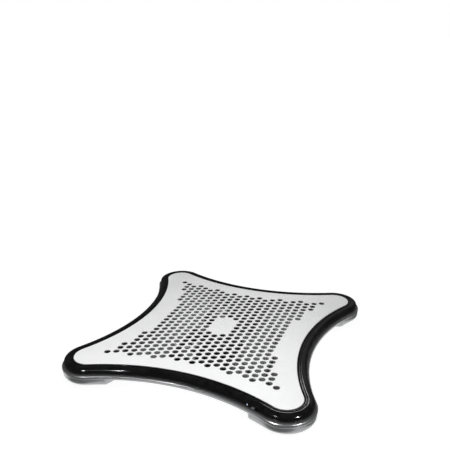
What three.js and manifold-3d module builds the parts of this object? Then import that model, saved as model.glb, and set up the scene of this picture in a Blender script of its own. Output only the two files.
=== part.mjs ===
// Laptop cooling pad: a perforated plate in a four-pointed casing with two flat fans under it.
// Millimetres. +Z is up, +X is the user's right, +Y points away from the user.
// The origin is on the table, under the middle of the pad.
import * as THREE from 'three';
import { mergeVertices } from 'three/addons/utils/BufferGeometryUtils.js';
import Module from 'manifold-3d';

const wasm = await Module();
wasm.setup();

// Driving dimensions -----------------------------------------------------------------------

// Outline of the plate: a concave arc along each side and a round at each of the four points
const waistX = 114.6; // from the middle to the left and right sides, at their narrowest
const waistY = 107; // from the middle to the front and back sides, at their narrowest
const tipX = 121.5; // centre of a corner round
const tipY = 119.7;
const tipRadius = 19;
const arcSteps = 8; // straight pieces in each arc of the outline

// Heights
const padProud = 1; // how far the foot pads stand out of the corner feet
const footHeight = 8; // from the table to the underside of the tray
const rimHeight = 7;
const fanClearance = 0.7; // between the fans and the plate

// Clearances
const gap = 0.3; // between pieces that touch
const runningGap = 0.07; // between a shaft and its sleeve
const through = 2; // how far a cut runs past the wall that it opens

// Top plate
const plateThickness = 1.2;
const holeRadius = 3.8;
const holeSides = 4; // each hole stands as a regular polygon of the round hole's area
const holePitchX = 9.32;
const holePitchY = 9.56;
const blankRadius = 18.9; // the disc in the middle that has no holes
const fieldMarginX = 20.5; // from the waist of the plate to the last holes
const fieldMarginY = 27.65;
const fieldCurveX = 588; // the field widens towards the points along these parabolas
const fieldCurveY = 382;

// Rim frame
const rimReach = 11.4; // how far it stands out past the plate
const rimWall = 2.6;
const rimCrown = { in: 5.6, down: 4.2, steps: 3 }; // rounding of its upper edge
const rimHem = { in: 1, down: 0.9, steps: 1 }; // rounding of its lower edge
const ledgeReach = 7; // how far the ledge comes in under the plate
const ledgeThickness = 1.9;
const webRadius = 14; // the ledge is widened round each corner screw
const groove = { start: 2.7, width: 0.9, depth: 0.7 };

// Bottom shell
const shellStep = 3.1; // how far it stands out past the rim
const shellWall = 2.2;
const floorThickness = 1.8;
const shellShoulder = { in: shellStep, down: 2.3, steps: 2 };
const shellBilge = { in: 4, down: 3.2, steps: 2 };
const podRadius = 40; // a corner foot ends on this circle about the corner round
const podInset = 0.4; // how far its side lies inside the side of the shell
const podHem = { in: 2, down: 1.6, steps: 1 };
const grille = { overHub: 3, inDuct: 0.5, ringWidth: 1.6, spokeWidth: 2.4, spokes: 6 };

// Foot pads
const padInset = 5.5; // from the side of the corner foot to the side of the pad
const padSink = 1.6; // depth of its seat

// Screws
const caseScrew = { head: 3, headHeight: 2.2, shank: 1.4, bite: 2.2 };
const fanScrew = { head: 2.9, headHeight: 1.5, shank: 1.5, bite: 6 };
const boardScrew = { head: 2.1, headHeight: 1.2, shank: 0.8, bite: 2.6 };
const bossWall = 1.8;

// Fans
const fanSize = 70;
const fanHeight = 10;
const fanSpace = 35.2; // between the two fans
const fanCorner = 4;
const fanHoleInset = 4.25;
const ductWall = 2.5; // where the round duct comes nearest to the side of the fan
const hubRadius = 14;
const hubWall = 1.2;
const rotorBottom = 3.2;
const rotorTop = 9.2;
const bladeCount = 9;
const bladeTipGap = 1; // from the blade tips to the duct
const bladeSpan = 9; // length of a blade round the axis
const bladeThickness = 0.9;
const bladeRise = 0.3; // how far the blades start above the hub's lower edge
const baseThickness = 1.5;
const strutWidth = 3;
const shaftRadius = 1;
const sleeveRadius = 2.8;
const bearingTubeWall = 1;
const bearingHeight = 5.5;
const magnetThickness = 1.1;
const airGap = 0.5; // between the magnet ring and the motor core
const circuitThickness = 0.8;

// Speed switch, lamp and control board
const switchFromTip = 21.7; // along the left side, from the front left corner round
const switchTravel = 6;
const switchRise = 2.1; // from the lower edge of the rim
const switchBody = { depth: 5, length: 15, wall: 1.2 };
const thumb = { length: 3, height: 2, proud: 1.3, footLength: 5 };
const lampShift = -11; // from the middle of the switch to the lamp
const lampRadius = 1.1;
const boardThickness = 1.2;
const boardDepth = 21;
const boardEnds = [-19, 15];
const boardHoleInset = 3.5;

// Power socket
const socketFromTip = 51.5; // along the back side, from the back left corner round
const socket = { width: 7.7, height: 3.4, length: 9, wall: 0.4, recess: 0.8 };
const socketBoard = { width: 16, depth: 14, thickness: 0.8 };
const stakeRadius = 1.1;

// Leads
const leadRadius = 0.6;
const leadLift = 0.8; // from the floor of the tray to a lead that lies on its clips
const header = { width: 7.4, depth: 4.6, height: 3.8, wall: 0.7 };
const plugProud = 2.2; // how far a plug stands out of its header

// Values that follow -----------------------------------------------------------------------

const podBottom = padProud;
const floorBottom = footHeight;
const floorTop = floorBottom + floorThickness;
const fanBottom = floorTop + gap;
const plateBottom = fanBottom + fanHeight + fanClearance;
const caseHeight = plateBottom + plateThickness;
const rimBottom = caseHeight - rimHeight;
const shellReach = rimReach + shellStep;
const ledgeTop = plateBottom - gap;
const ledgeBottom = ledgeTop - ledgeThickness;
const shellTop = rimBottom - gap;
const flangeBottom = shellTop - shellWall;
const flangeReach = rimReach - rimWall + 0.2;
const padTop = podBottom + padSink - gap;
const podFloorTop = podBottom + padSink + floorThickness;
const leadZ = floorTop + leadLift + leadRadius;
const headSeat = podBottom + padSink + gap + caseScrew.headHeight + gap;
const fanOffset = (fanSpace + fanSize) / 2;
const ductRadius = fanSize / 2 - ductWall;
const switchZ = rimBottom + switchRise;

// Solids -----------------------------------------------------------------------------------

// A closed three.js geometry as a solid that can be joined and cut.
function solid(geometry) {
  geometry.deleteAttribute('normal');
  geometry.deleteAttribute('uv');
  const merged = mergeVertices(geometry, 1e-4);
  return new wasm.Manifold(new wasm.Mesh({
    numProp: 3,
    vertProperties: merged.attributes.position.array,
    triVerts: new Uint32Array(merged.index.array),
  }));
}

const joined = (solids) => solids.reduce((whole, next) => whole.add(next));

function box(x0, x1, y0, y1, z0, z1) {
  const geometry = new THREE.BoxGeometry(x1 - x0, y1 - y0, z1 - z0);
  return solid(geometry.translate((x0 + x1) / 2, (y0 + y1) / 2, (z0 + z1) / 2));
}

function disc(radius, z0, z1, x = 0, y = 0, sides = 12) {
  const geometry = new THREE.CylinderGeometry(radius, radius, z1 - z0, sides);
  return solid(geometry.rotateX(Math.PI / 2).translate(x, y, (z0 + z1) / 2));
}

const tubeWall = (outer, inner, z0, z1, sides = 12) =>
  disc(outer, z0, z1, 0, 0, sides).subtract(disc(inner, z0 - 1, z1 + 1, 0, 0, sides));

// A solid turned about Z from a closed profile of [radius, height] points.
function turned(profile, sides = 10) {
  const points = [...profile, profile[0]].map(([r, z]) => new THREE.Vector2(r, z));
  return solid(new THREE.LatheGeometry(points, sides).rotateX(Math.PI / 2));
}

// A shape extruded from z0 to z1, with both edges rounded by edge.in and edge.down.
function slab(shape, z0, z1, edge = { in: 0, down: 0, steps: 1 }) {
  const geometry = new THREE.ExtrudeGeometry(shape, {
    depth: z1 - z0 - 2 * edge.down,
    bevelEnabled: edge.in > 0,
    bevelSize: edge.in,
    bevelOffset: -edge.in,
    bevelThickness: edge.down,
    bevelSegments: edge.steps,
    curveSegments: 2,
  });
  return solid(geometry.translate(0, 0, z0 + edge.down));
}

// The same with one rounding for the lower edge and another for the upper edge.
function casing(shape, z0, z1, lower, upper) {
  const low = slab(shape, z0, z1 + lower.down + 1, lower);
  const high = slab(shape, z0 - upper.down - 1, z1, upper);
  return low.intersect(high);
}

// A round bar of the given radius along a smooth route.
function bar(route, radius, steps) {
  const path = new THREE.CatmullRomCurve3(route);
  const section = new THREE.Shape().absarc(0, 0, radius, 0, 2 * Math.PI);
  return solid(new THREE.ExtrudeGeometry(section, { steps, curveSegments: 3, extrudePath: path }));
}

// The plate's outline, moved outwards by the given distance.
function sideArc(waist, along, across) {
  const rise = waist - along;
  const radius = (rise ** 2 + across ** 2 - tipRadius ** 2) / (2 * (tipRadius - rise));
  return { waist, radius, half: Math.asin(across / (radius + tipRadius)) };
}
const sideX = sideArc(waistX, tipX, tipY);
const sideY = sideArc(waistY, tipY, tipX);
const corners = [
  { name: 'back_right', x: tipX, y: tipY },
  { name: 'back_left', x: -tipX, y: tipY },
  { name: 'front_left', x: -tipX, y: -tipY },
  { name: 'front_right', x: tipX, y: -tipY },
];

function outline(reach) {
  const points = [];
  const arc = (x, y, radius, start, end) => {
    const curve = new THREE.EllipseCurve(x, y, radius, radius, start, end, end < start);
    points.push(...curve.getPoints(arcSteps).slice(1));
  };
  corners.forEach((corner, quarter) => {
    const turn = (quarter * Math.PI) / 2;
    const [side, next] = quarter % 2 ? [sideY, sideX] : [sideX, sideY];
    const far = side.waist + side.radius;
    const facing = turn + Math.PI;
    arc(far * Math.cos(turn), far * Math.sin(turn), side.radius - reach, facing + side.half,
      facing - side.half);
    arc(corner.x, corner.y, tipRadius + reach, turn - side.half, turn + Math.PI / 2 + next.half);
  });
  return new THREE.Shape(points);
}

// A place on the left or back side: a group whose +X points straight out of that side.
function sidePlace(side, turn, along) {
  const lean = Math.asin(along / side.radius);
  const far = side.waist + side.radius - side.radius * Math.cos(lean);
  const place = new THREE.Group();
  place.position.set(far, along, 0).applyAxisAngle(new THREE.Vector3(0, 0, 1), turn);
  place.rotation.z = turn - lean;
  place.updateMatrixWorld(true);
  return place;
}

// The same place for a solid that is cut in the pad's own frame.
const atPlace = (body, place) =>
  body.rotate([0, 0, THREE.MathUtils.radToDeg(place.rotation.z)])
    .translate(place.position.toArray());

const switchPlace = sidePlace(sideX, Math.PI, tipY - switchFromTip);
const socketPlace = sidePlace(sideY, Math.PI / 2, tipX - socketFromTip);

// Materials --------------------------------------------------------------------------------

const finishes = {
  plate: { color: 0xd9dadb, roughness: 0.38, metalness: 1 },
  rim: { color: 0x0b0b0c, roughness: 0.12, metalness: 0 },
  shell: { color: 0x85878b, roughness: 0.28, metalness: 0.2 },
  rubber: { color: 0x1b1b1c, roughness: 0.9, metalness: 0 },
  fan: { color: 0x141416, roughness: 0.5, metalness: 0 },
  steel: { color: 0xb4b6b8, roughness: 0.3, metalness: 1 },
  brass: { color: 0xb08d45, roughness: 0.35, metalness: 1 },
  core: { color: 0x8a5a34, roughness: 0.5, metalness: 0.6 },
  magnet: { color: 0x3a3a3c, roughness: 0.7, metalness: 0.1 },
  board: { color: 0x1d5a34, roughness: 0.5, metalness: 0 },
  moulding: { color: 0x101012, roughness: 0.45, metalness: 0 },
  connector: { color: 0xe6e0cf, roughness: 0.5, metalness: 0 },
  lamp: { color: 0x3d7fe0, roughness: 0.2, metalness: 0 },
  lead: { color: 0x1a1a1c, roughness: 0.5, metalness: 0 },
};

const pad = new THREE.Group();
pad.name = 'laptop_cooling_pad';

function addPiece(name, body, finish, parent = pad) {
  const { vertProperties, triVerts } = body.getMesh();
  const geometry = new THREE.BufferGeometry();
  geometry.setAttribute('position', new THREE.BufferAttribute(vertProperties, 3));
  geometry.setIndex(new THREE.BufferAttribute(triVerts, 1));
  geometry.computeVertexNormals();
  const mesh = new THREE.Mesh(geometry, new THREE.MeshStandardMaterial(finishes[finish]));
  mesh.name = name;
  parent.add(mesh);
}

// Top plate --------------------------------------------------------------------------------

// Rows of holes run across the pad, every other row shifted by half a pitch.
function holeCentres() {
  const centres = [];
  const rows = Math.ceil(tipY / holePitchY);
  const columns = Math.ceil(tipX / holePitchX);
  const fieldX = waistX - fieldMarginX;
  const fieldY = waistY - fieldMarginY;
  for (let row = -rows; row <= rows; row++) {
    const shift = row % 2 ? 0.5 : 0;
    for (let column = -columns; column <= columns; column++) {
      const x = (column + shift) * holePitchX;
      const y = row * holePitchY;
      const inField = Math.abs(x) <= fieldX + y * y / fieldCurveX
        && Math.abs(y) <= fieldY + x * x / fieldCurveY;
      if (inField && Math.hypot(x, y) > blankRadius) centres.push([x, y]);
    }
  }
  return centres;
}

function topPlate() {
  const step = (2 * Math.PI) / holeSides;
  const reach = holeRadius * Math.sqrt(step / Math.sin(step));
  const hole = disc(reach, plateBottom - 1, caseHeight + 1, 0, 0, holeSides)
    .rotate([0, 0, 180 / holeSides]);
  const holes = holeCentres().map(([x, y]) => hole.translate([x, y, 0]));
  return slab(outline(0), plateBottom, caseHeight).subtract(joined(holes));
}
addPiece('top_plate', topPlate(), 'plate');

// Rim frame --------------------------------------------------------------------------------

function rimFrame() {
  const wallInside = rimReach - rimWall;
  const grooveEnd = groove.start + groove.width;
  let rim = casing(outline(rimReach), rimBottom, caseHeight, rimHem, rimCrown)
    .subtract(slab(outline(gap), ledgeTop, caseHeight + 1))
    .subtract(slab(outline(wallInside), rimBottom - 1, ledgeBottom));
  let opening = slab(outline(-ledgeReach), rimBottom - 1, caseHeight);
  for (const { x, y } of corners) opening = opening.subtract(disc(webRadius, 0, caseHeight, x, y));
  const grooveRing = slab(outline(grooveEnd), caseHeight - groove.depth, caseHeight + 1)
    .subtract(slab(outline(groove.start), 0, caseHeight + 2));
  rim = rim.subtract(opening).subtract(grooveRing);

  const screwHole = caseScrew.shank + gap;
  for (const { x, y } of corners) {
    const boss = disc(screwHole + bossWall + 1, rimBottom, ledgeTop, x, y);
    const hole = disc(screwHole, rimBottom - 1, rimBottom + caseScrew.bite + gap, x, y);
    rim = rim.add(boss).subtract(hole);
  }

  const slotHalf = (switchTravel + thumb.length) / 2 + gap;
  const slotHeight = thumb.height / 2 + gap;
  const slot = box(wallInside - through, rimReach + through, -slotHalf, slotHalf,
    switchZ - slotHeight, switchZ + slotHeight);
  const lampHole = disc(lampRadius + gap, wallInside - through, rimReach + through)
    .rotate([0, 90, 0]).translate([0, lampShift, switchZ]);
  return rim.subtract(atPlace(slot, switchPlace)).subtract(atPlace(lampHole, switchPlace));
}
addPiece('rim_frame', rimFrame(), 'rim');

// Bottom shell -----------------------------------------------------------------------------

const cornerPart = (reach, radius, { x, y }, z0, z1, edge) =>
  slab(outline(reach), z0, z1, edge).intersect(disc(radius, z0 - 1, z1 + 1, x, y, 24));

// Openings under a fan: rings of air slots cut by spokes, and the holes of its four screws.
function intake(x) {
  const low = floorBottom - 1;
  const high = floorTop + 1;
  const inner = hubRadius + grille.overHub;
  const outer = ductRadius - grille.inDuct;
  const middle = (inner + outer) / 2;
  const slots = tubeWall(outer, inner, low, high, 24)
    .subtract(tubeWall(middle + grille.ringWidth / 2, middle - grille.ringWidth / 2, 0, 20, 24));
  let cut = slots;
  for (let spoke = 0; spoke < grille.spokes; spoke++) {
    const bladeBox = box(0, outer + 1, -grille.spokeWidth / 2, grille.spokeWidth / 2, 0, 20);
    cut = cut.subtract(bladeBox.rotate([0, 0, (360 * spoke) / grille.spokes + 30]));
  }
  return cut.translate([x, 0, 0]);
}

function fanScrewSeat() {
  const hole = fanScrew.shank + gap;
  const mouth = fanScrew.head + gap;
  return turned([[0, floorBottom - 1], [mouth, floorBottom - 1], [mouth, floorBottom],
    [hole, floorBottom + fanScrew.headHeight], [hole, floorTop + 1], [0, floorTop + 1]], 8);
}

const fanHole = fanSize / 2 - fanHoleInset;
const fanScrewSpots = [-1, 1].flatMap((sx) => [-1, 1].map((sy) => [sx * fanHole, sy * fanHole]));

// Screw holes of the control board, in the frame of the switch's place.
const boardFront = rimReach - rimWall - gap;
const boardBottom = switchZ - thumb.height / 2 - switchBody.wall - gap - gap - boardThickness;
const boardHoles = boardEnds.map((end) =>
  [boardFront - boardHoleInset, end - Math.sign(end) * boardHoleInset]);

function bottomShell() {
  let shell = casing(outline(shellReach), floorBottom, shellTop, shellBilge, shellShoulder);
  for (const corner of corners) {
    const pod = slab(outline(shellReach - podInset), podBottom, floorTop + podHem.down, podHem);
    shell = shell.add(pod.intersect(disc(podRadius, 0, floorTop, corner.x, corner.y, 24)));
  }
  const outside = shell;
  const wallInside = shellReach - shellWall;
  shell = shell.subtract(slab(outline(wallInside), floorTop, flangeBottom))
    .subtract(slab(outline(flangeReach), floorTop, shellTop + 1));

  for (const corner of corners) {
    const hollow = cornerPart(wallInside - podInset, podRadius - shellWall, corner, podFloorTop,
      floorTop + 0.5);
    const seat = cornerPart(shellReach - podInset - padInset + gap, podRadius - padInset + gap,
      corner, podBottom - 1, podBottom + padSink);
    const hole = caseScrew.shank + gap;
    const bore = caseScrew.head + gap;
    const boss = disc(bore + bossWall, podBottom + padSink, headSeat + 1, corner.x, corner.y)
      .add(disc(hole + bossWall + 1, podBottom + padSink, shellTop, corner.x, corner.y));
    shell = shell.subtract(hollow).add(boss).subtract(seat)
      .subtract(disc(bore, podBottom, headSeat, corner.x, corner.y))
      .subtract(disc(hole, podBottom, shellTop + 1, corner.x, corner.y));
  }

  for (const side of [-1, 1]) {
    shell = shell.subtract(intake(side * fanOffset));
    for (const [x, y] of fanScrewSpots) {
      shell = shell.subtract(fanScrewSeat().translate([side * fanOffset + x, y, 0]));
    }
  }

  for (const [x, y] of boardHoles) {
    const radius = boardScrew.shank + gap;
    const depth = boardBottom - boardScrew.bite - 2 * gap;
    const post = disc(radius + bossWall, podFloorTop - 0.5, boardBottom - gap, x, y, 8)
      .subtract(disc(radius, depth, boardBottom, x, y, 8));
    shell = shell.add(atPlace(post, switchPlace).intersect(outside));
  }

  const mouthHalf = socket.width / 2 + gap;
  const mouth = box(flangeReach - through, shellReach + through, -mouthHalf, mouthHalf,
    socketBoardTop, socketHigh + gap);
  shell = shell.subtract(atPlace(mouth, socketPlace));
  for (const [x, y] of socketStakes) {
    const stake = disc(stakeRadius, floorTop - 0.5, socketBoardTop + 0.8, x, y, 8);
    shell = shell.add(atPlace(stake, socketPlace));
  }
  return shell;
}

// The socket's little board, in the frame of the socket's place.
const socketFront = shellReach - socket.recess;
const socketBoardTop = floorTop + gap + socketBoard.thickness;
const socketLow = socketBoardTop + gap;
const socketHigh = socketLow + socket.height;
const socketBoardFront = shellReach - shellWall - 1;
const socketBoardBack = socketBoardFront - socketBoard.depth;
const socketStakes = [-1, 1].map((side) =>
  [socketBoardBack + 3, side * (socketBoard.width / 2 - 3)]);
addPiece('bottom_shell', bottomShell(), 'shell');

for (const corner of corners) {
  const footPad = cornerPart(shellReach - podInset - padInset, podRadius - padInset, corner, 0,
    padTop);
  addPiece('foot_pad_' + corner.name, footPad, 'rubber');
}

// Screws -----------------------------------------------------------------------------------

// A screw that stands head down on z = 0, with a crossed slot in its head.
function screw({ head, headHeight, shank }, length, countersunk) {
  const rim = countersunk ? [head, 0.3] : [head, headHeight];
  const body = turned([[0, 0], [head, 0], rim, [shank, headHeight], [shank, length - 0.6],
    [shank * 0.6, length], [0, length]], 8);
  const slot = box(-head * 0.6, head * 0.6, -0.35, 0.35, -1, headHeight * 0.5);
  return body.subtract(slot);
}

for (const corner of corners) {
  const start = podBottom + padSink + gap;
  const length = rimBottom + caseScrew.bite - start;
  const body = screw(caseScrew, length, false).translate([corner.x, corner.y, start]);
  addPiece('case_screw_' + corner.name, body, 'steel');
}

// Fans -------------------------------------------------------------------------------------

function fanFrame() {
  const half = fanSize / 2;
  const square = new THREE.Shape();
  for (const [quarter, [sx, sy]] of [[1, 1], [-1, 1], [-1, -1], [1, -1]].entries()) {
    const centre = half - fanCorner;
    const start = (quarter * Math.PI) / 2;
    square.absarc(sx * centre, sy * centre, fanCorner, start, start + Math.PI / 2);
  }
  square.closePath();
  let frame = slab(square, 0, fanHeight).subtract(disc(ductRadius, -1, fanHeight + 1, 0, 0, 28));
  for (const [x, y] of fanScrewSpots) {
    frame = frame.subtract(disc(fanScrew.shank + gap, -1, fanHeight + 1, x, y, 8));
  }
  frame = frame.add(disc(hubRadius, 0, baseThickness, 0, 0, 20));
  for (let strut = 0; strut < 4; strut++) {
    const arm = box(hubRadius - 1, ductRadius + 1, -strutWidth / 2, strutWidth / 2, 0, baseThickness);
    frame = frame.add(arm.rotate([0, 0, strut * 90]));
  }
  const tubeInside = sleeveRadius + gap;
  const tube = disc(tubeInside + bearingTubeWall, 0, baseThickness + bearingHeight + gap)
    .subtract(disc(tubeInside, baseThickness, fanHeight));
  const notch = box(-leadRadius - 0.5, leadRadius + 0.5, -half - 1, -ductRadius + 2,
    baseThickness, baseThickness + 2 * (leadRadius + gap) + 1);
  return frame.add(tube).subtract(notch);
}

const shaftTop = rotorTop - 0.5;

function fanRotor() {
  const socketHole = shaftRadius + runningGap;
  const cup = turned([[socketHole, rotorTop - hubWall], [hubRadius - hubWall, rotorTop - hubWall],
    [hubRadius - hubWall, rotorBottom], [hubRadius, rotorBottom], [hubRadius, rotorTop - 0.8],
    [hubRadius - 0.8, rotorTop], [0, rotorTop], [0, shaftTop + 0.1], [socketHole, shaftTop + 0.1]],
  24);
  const half = bladeSpan / 2;
  const low = rotorBottom + bladeRise;
  const high = rotorTop;
  const crown = (low + high) / 2 + 1.4;
  const section = new THREE.Shape().moveTo(-half, low).quadraticCurveTo(0, crown, half, high)
    .lineTo(half, high - bladeThickness).quadraticCurveTo(0, crown - bladeThickness, -half, low);
  const length = ductRadius - bladeTipGap - hubRadius;
  const blade = solid(new THREE.ExtrudeGeometry(section, { depth: length, bevelEnabled: false,
    curveSegments: 3 }).rotateX(Math.PI / 2).rotateZ(Math.PI / 2).translate(hubRadius - 1, 0, 0));
  const blades = Array.from({ length: bladeCount }, (_, index) =>
    blade.rotate([0, 0, (360 * index) / bladeCount]));
  const bladeTips = disc(ductRadius - bladeTipGap, 0, fanHeight, 0, 0, 32);
  return cup.add(joined(blades).intersect(bladeTips).subtract(disc(hubRadius - 0.5, 0, fanHeight)));
}

function fanStator() {
  const outer = hubRadius - hubWall - gap - magnetThickness - airGap;
  const inner = sleeveRadius + gap + bearingTubeWall + gap;
  const low = baseThickness + circuitThickness + 2 * gap;
  const high = rotorTop - hubWall - 0.8;
  let core = tubeWall(outer, inner, low, high, 20);
  for (let pole = 0; pole < 4; pole++) {
    const cut = box(inner + 1.5, outer - 1.2, -1.8, 1.8, 0, fanHeight)
      .add(box(inner + 1.5, outer + 1, -0.5, 0.5, 0, fanHeight));
    core = core.subtract(cut.rotate([0, 0, 45 + pole * 90]));
  }
  return core;
}

function addFan(name, x) {
  const fan = new THREE.Group();
  fan.position.set(x, 0, fanBottom);
  pad.add(fan);
  const tubeOuter = sleeveRadius + gap + bearingTubeWall;
  const magnetOuter = hubRadius - hubWall - gap;
  const circuitBottom = baseThickness + gap;
  const add = (piece, body, finish) => addPiece('fan_' + piece + '_' + name, body, finish, fan);

  add('frame', fanFrame(), 'fan');
  add('rotor', fanRotor(), 'fan');
  add('shaft', disc(shaftRadius, baseThickness + gap, shaftTop), 'steel');
  add('bearing', tubeWall(sleeveRadius, shaftRadius + runningGap, baseThickness + gap,
    baseThickness + bearingHeight), 'brass');
  add('stator', fanStator(), 'core');
  add('magnet', tubeWall(magnetOuter, magnetOuter - magnetThickness, rotorBottom + 0.2,
    rotorTop - hubWall - gap, 20), 'magnet');
  add('circuit', tubeWall(magnetOuter, tubeOuter + gap, circuitBottom,
    circuitBottom + circuitThickness, 20), 'board');
  fanScrewSpots.forEach(([sx, sy], index) => {
    const body = screw(fanScrew, floorThickness + gap + fanScrew.bite, true)
      .translate([x + sx, sy, floorBottom]);
    addPiece(`fan_screw_${name}_${index + 1}`, body, 'steel');
  });
}
addFan('left', -fanOffset);
addFan('right', fanOffset);

// Control board, switch and lamp -----------------------------------------------------------

pad.add(switchPlace);
const boardTop = boardBottom + boardThickness;
const [boardStart, boardEnd] = boardEnds;
const boardBack = boardFront - boardDepth;
const bodyBack = boardFront - switchBody.depth;
const bodyHalf = switchBody.length / 2;
const stemHeight = thumb.height / 2;

let controlBoard = box(boardBack, boardFront, boardStart, boardEnd, boardBottom, boardTop);
for (const [x, y] of boardHoles) {
  controlBoard = controlBoard.subtract(disc(boardScrew.shank + gap, 0, caseHeight, x, y, 8));
}
addPiece('control_board', controlBoard, 'board', switchPlace);

boardHoles.forEach(([x, y], index) => {
  const length = boardThickness + boardScrew.headHeight + boardScrew.bite;
  const body = screw(boardScrew, length, false).rotate([180, 0, 0])
    .translate([x, y, boardTop + gap + boardScrew.headHeight]);
  addPiece(`board_screw_${index + 1}`, body, 'steel', switchPlace);
});

const travelHalf = (switchTravel + thumb.footLength) / 2 + gap;
const channel = box(bodyBack + switchBody.wall, boardFront + 1, -travelHalf, travelHalf,
  switchZ - stemHeight - gap, switchZ + stemHeight + gap);
const switchCase = box(bodyBack, boardFront, -bodyHalf, bodyHalf, boardTop + gap,
  ledgeBottom - gap).subtract(channel);
addPiece('speed_switch_body', switchCase, 'moulding', switchPlace);

const thumbRest = -switchTravel / 2;
const thumbFoot = box(bodyBack + switchBody.wall + gap, boardFront - gap,
  thumbRest - thumb.footLength / 2, thumbRest + thumb.footLength / 2,
  switchZ - stemHeight, switchZ + stemHeight);
const thumbStem = box(boardFront - 1, rimReach + thumb.proud, thumbRest - thumb.length / 2,
  thumbRest + thumb.length / 2, switchZ - stemHeight, switchZ + stemHeight);
addPiece('speed_switch_thumb', thumbFoot.add(thumbStem), 'connector', switchPlace);

const lampBulb = disc(lampRadius, boardFront - 4, rimReach, 0, 0, 12)
  .rotate([0, 90, 0]).translate([0, lampShift, switchZ]);
const lampLegs = box(boardFront - 3.6, boardFront - 2.4, lampShift - 0.5, lampShift + 0.5,
  boardTop + gap, switchZ);
addPiece('status_lamp', lampBulb.add(lampLegs), 'lamp', switchPlace);

// Headers stand at the inner edge of the board, and each lead's plug goes in from that side.
const plugEnds = {};
function addConnector(name, y) {
  const low = boardTop + gap;
  const half = header.width / 2;
  const inner = half - header.wall;
  const shroud = box(boardBack + 1, boardBack + 1 + header.depth, y - half, y + half, low,
    low + header.height)
    .subtract(box(boardBack, boardBack + header.depth, y - inner, y + inner, low + header.wall,
      low + header.height - header.wall));
  addPiece(name + '_header', shroud, 'connector', switchPlace);
  const plugBack = boardBack + 1 - plugProud;
  const plug = box(plugBack, boardBack + header.depth - gap, y - inner + gap, y + inner - gap,
    low + header.wall + gap, low + header.height - header.wall - gap);
  addPiece(name + '_plug', plug, 'connector', switchPlace);
  const end = new THREE.Vector3(plugBack - gap, y, low + header.height / 2);
  const before = new THREE.Vector3(plugBack - 7, y, low + header.height / 2);
  plugEnds[name] = [switchPlace.localToWorld(before), switchPlace.localToWorld(end)];
}
addConnector('power', -11);
addConnector('fan_left', -2.5);
addConnector('fan_right', 6);

// Power socket -----------------------------------------------------------------------------

pad.add(socketPlace);
const socketBack = socketFront - socket.length;
const socketHalf = socket.width / 2;

let smallBoard = box(socketBoardBack, socketBoardFront, -socketBoard.width / 2,
  socketBoard.width / 2, floorTop + gap, socketBoardTop);
for (const [x, y] of socketStakes) {
  smallBoard = smallBoard.subtract(disc(stakeRadius + gap, 0, caseHeight, x, y, 8));
}
addPiece('socket_board', smallBoard, 'board', socketPlace);

const socketShell = box(socketBack, socketFront, -socketHalf, socketHalf, socketLow, socketHigh)
  .subtract(box(socketBack - 1, socketFront + 1, socket.wall - socketHalf,
    socketHalf - socket.wall, socketLow + socket.wall, socketHigh - socket.wall));
addPiece('power_socket_shell', socketShell, 'steel', socketPlace);

const insideHalf = socketHalf - socket.wall - gap;
const middleZ = (socketLow + socketHigh) / 2;
const tongue = box(socketBack, socketBack + 2, -insideHalf, insideHalf,
  socketLow + socket.wall + gap, socketHigh - socket.wall - gap)
  .add(box(socketBack + 1, socketFront - 1.2, 0.8 - insideHalf, insideHalf - 0.8, middleZ - 0.5,
    middleZ + 0.5));
addPiece('power_socket_tongue', tongue, 'moulding', socketPlace);

// Leads ------------------------------------------------------------------------------------

const at = (x, y, z = leadZ) => new THREE.Vector3(x, y, z);

// From the motor's circuit board, along a strut, out through the notch and over the floor.
function fanLeadStart(x) {
  const z = fanBottom + baseThickness + gap + leadRadius;
  const front = -fanSize / 2;
  return [at(x, -hubRadius + hubWall - gap, z), at(x, -ductRadius / 2 - 8, z), at(x, front - 1, z)];
}

addPiece('fan_lead_left', bar([...fanLeadStart(-fanOffset), at(-fanOffset - 4, -46),
  at(-fanOffset - 18, -60), at(-fanOffset - 32, -68), ...plugEnds.fan_left], leadRadius, 24),
'lead');
addPiece('fan_lead_right', bar([...fanLeadStart(fanOffset), at(fanOffset - 6, -48),
  at(fanOffset - 28, -62), at(0, -72), at(-40, -80), at(-78, -84), ...plugEnds.fan_right],
leadRadius, 34), 'lead');

const socketEnd = [socketBoardBack - gap, socketBoardBack - 6].map((x) =>
  socketPlace.localToWorld(new THREE.Vector3(x, 0, leadZ)));
addPiece('power_lead', bar([...socketEnd, at(-92, 78), at(-99, 45), at(-100, 0), at(-99, -35),
  ...plugEnds.power], leadRadius, 34), 'lead');

export default pad;
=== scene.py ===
import math

import bmesh
import bpy
from mathutils import Matrix, Vector


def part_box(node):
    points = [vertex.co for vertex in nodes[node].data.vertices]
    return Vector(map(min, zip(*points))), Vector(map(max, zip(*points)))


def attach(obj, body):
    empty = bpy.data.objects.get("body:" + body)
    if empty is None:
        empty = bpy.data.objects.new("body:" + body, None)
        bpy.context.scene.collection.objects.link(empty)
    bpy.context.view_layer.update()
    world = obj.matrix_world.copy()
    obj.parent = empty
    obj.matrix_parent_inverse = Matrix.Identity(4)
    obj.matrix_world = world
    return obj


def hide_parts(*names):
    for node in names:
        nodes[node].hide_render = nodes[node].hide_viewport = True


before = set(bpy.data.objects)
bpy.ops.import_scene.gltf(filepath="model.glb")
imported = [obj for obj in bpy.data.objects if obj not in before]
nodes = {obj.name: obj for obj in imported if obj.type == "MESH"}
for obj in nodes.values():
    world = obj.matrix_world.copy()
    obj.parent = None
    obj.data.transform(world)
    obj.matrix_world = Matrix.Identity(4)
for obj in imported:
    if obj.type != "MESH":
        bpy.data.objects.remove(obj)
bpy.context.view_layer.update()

mm = 0.001
weldReach = 2e-6
flatReach = 1e-6


# Selecting, joining, cutting and simple solids.

def deselectAll():
    if bpy.context.object and bpy.context.object.mode != 'OBJECT':
        bpy.ops.object.mode_set(mode='OBJECT')
    bpy.ops.object.select_all(action='DESELECT')


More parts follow.
